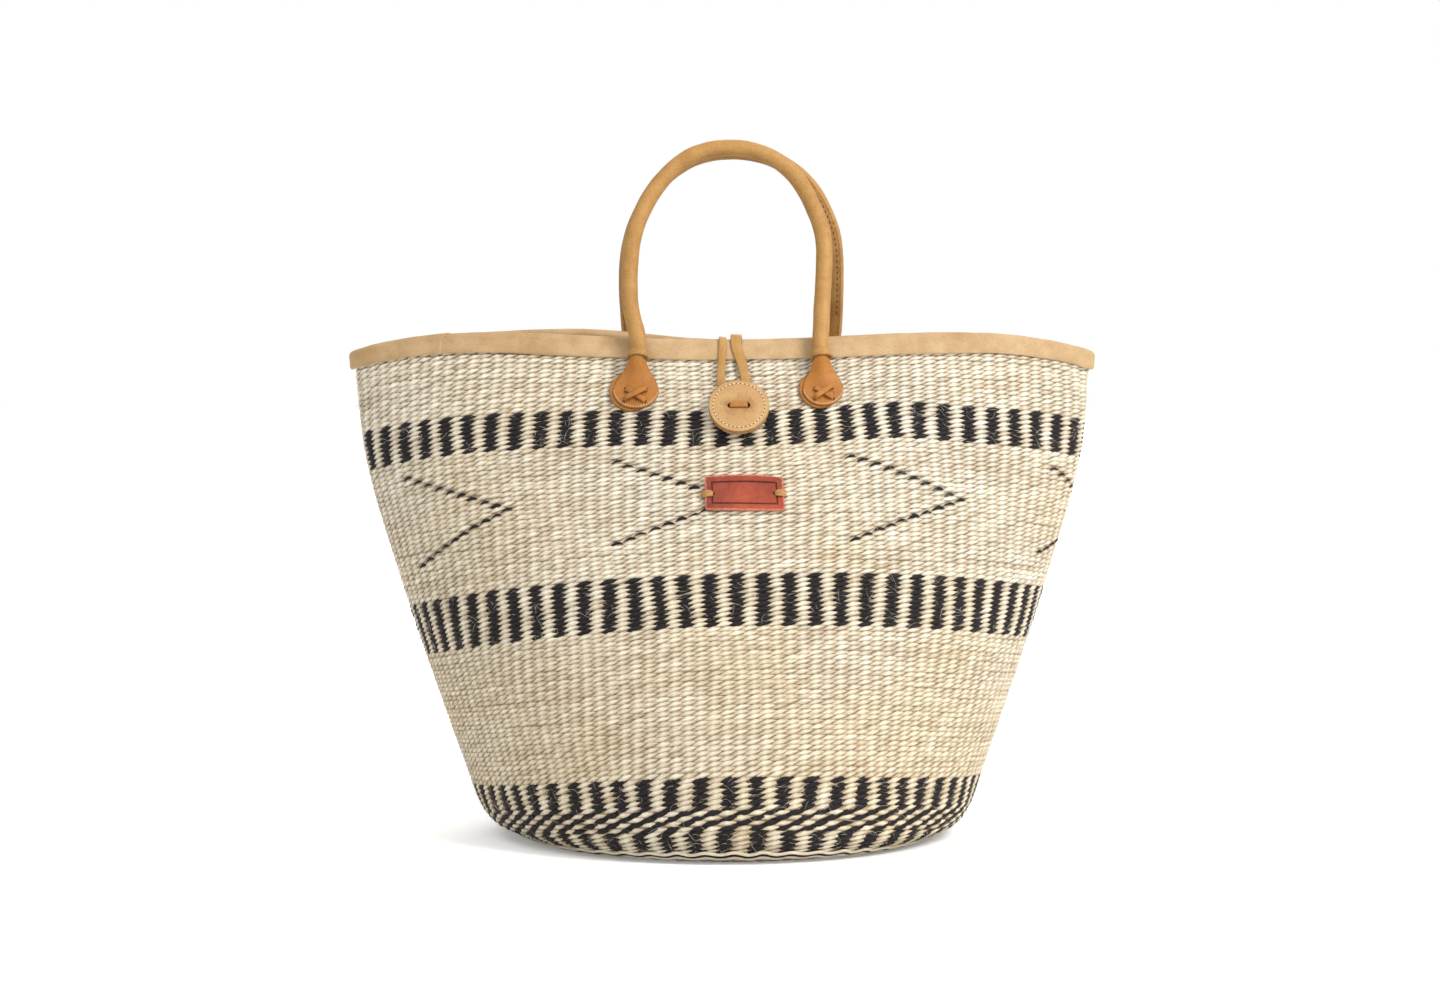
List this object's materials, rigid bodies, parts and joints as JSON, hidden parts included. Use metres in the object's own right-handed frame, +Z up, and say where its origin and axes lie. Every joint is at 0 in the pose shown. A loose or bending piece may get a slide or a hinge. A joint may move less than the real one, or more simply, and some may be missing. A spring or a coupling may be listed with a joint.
{
  "type": "kiondo basket",
  "caption": "Open-topped tote basket twined from sisal, with a leather-bound rim, two swinging rolled leather handles, and a button with a loop that closes the mouth.",
  "frame": {"origin": "on the floor under the middle of the round base", "axes": "+Z up, the front with the button and the patch faces -Y, the long way of the mouth runs along X"},
  "size_m": [0.5278, 0.3, 0.4841],
  "materials": {
    "sisal": "matte hand-spun sisal, twined in cream and near-black, with fine stray fibres",
    "binding_leather": "soft matte tan nubuck with fine creases along the fold",
    "tan_leather": "golden tan pull-up leather, semi-matte, with darker handled patches",
    "patch_leather": "red-brown glazed leather with a pressed border",
    "rope": "matte laid sisal rope",
    "thread": "waxed cream thread",
    "raffia": "dry raffia strip"
  },
  "bodies": {
    "root": {"woven_body": "sisal", "rim_binding": "binding_leather", "closure_loop": "tan_leather", "leather_patch": "patch_leather", "patch_tie_left": "raffia", "patch_tie_right": "raffia", "front_left_foot_leaf": "tan_leather", "front_left_foot_backing": "tan_leather", "front_left_foot_collar": "tan_leather", "front_left_foot_lacing": "tan_leather", "front_left_foot_stitching": "thread", "front_right_foot_leaf": "tan_leather", "front_right_foot_backing": "tan_leather", "front_right_foot_collar": "tan_leather", "front_right_foot_lacing": "tan_leather", "front_right_foot_stitching": "thread", "rear_left_foot_leaf": "tan_leather", "rear_left_foot_backing": "tan_leather", "rear_left_foot_collar": "tan_leather", "rear_left_foot_lacing": "tan_leather", "rear_left_foot_stitching": "thread", "rear_right_foot_leaf": "tan_leather", "rear_right_foot_backing": "tan_leather", "rear_right_foot_collar": "tan_leather", "rear_right_foot_lacing": "tan_leather", "rear_right_foot_stitching": "thread"},
    "front_handle": {"front_handle_sleeve": "tan_leather", "front_handle_core": "rope"},
    "rear_handle": {"rear_handle_sleeve": "tan_leather", "rear_handle_core": "rope"},
    "button": {"button_back_disc": "tan_leather", "button_front_disc": "tan_leather", "button_stitching": "thread", "button_thong": "tan_leather"}
  },
  "joints": [
    {"name": "front_handle_swing", "type": "hinge", "parent": "root", "child": "front_handle", "pos_m": [0.005, -0.05697, 0.35163], "axis": [1, 0, 0], "range_deg": [-5, 125]},
    {"name": "rear_handle_swing", "type": "hinge", "parent": "root", "child": "rear_handle", "pos_m": [0.007, 0.05655, 0.35158], "axis": [-1, 0, 0], "range_deg": [-5, 125]},
    {"name": "button_turn", "type": "hinge", "parent": "root", "child": "button", "pos_m": [0.011, -0.07065, 0.2975], "axis": [0.0092, -0.8314, 0.5555], "range_deg": [-25, 25]}
  ]
}
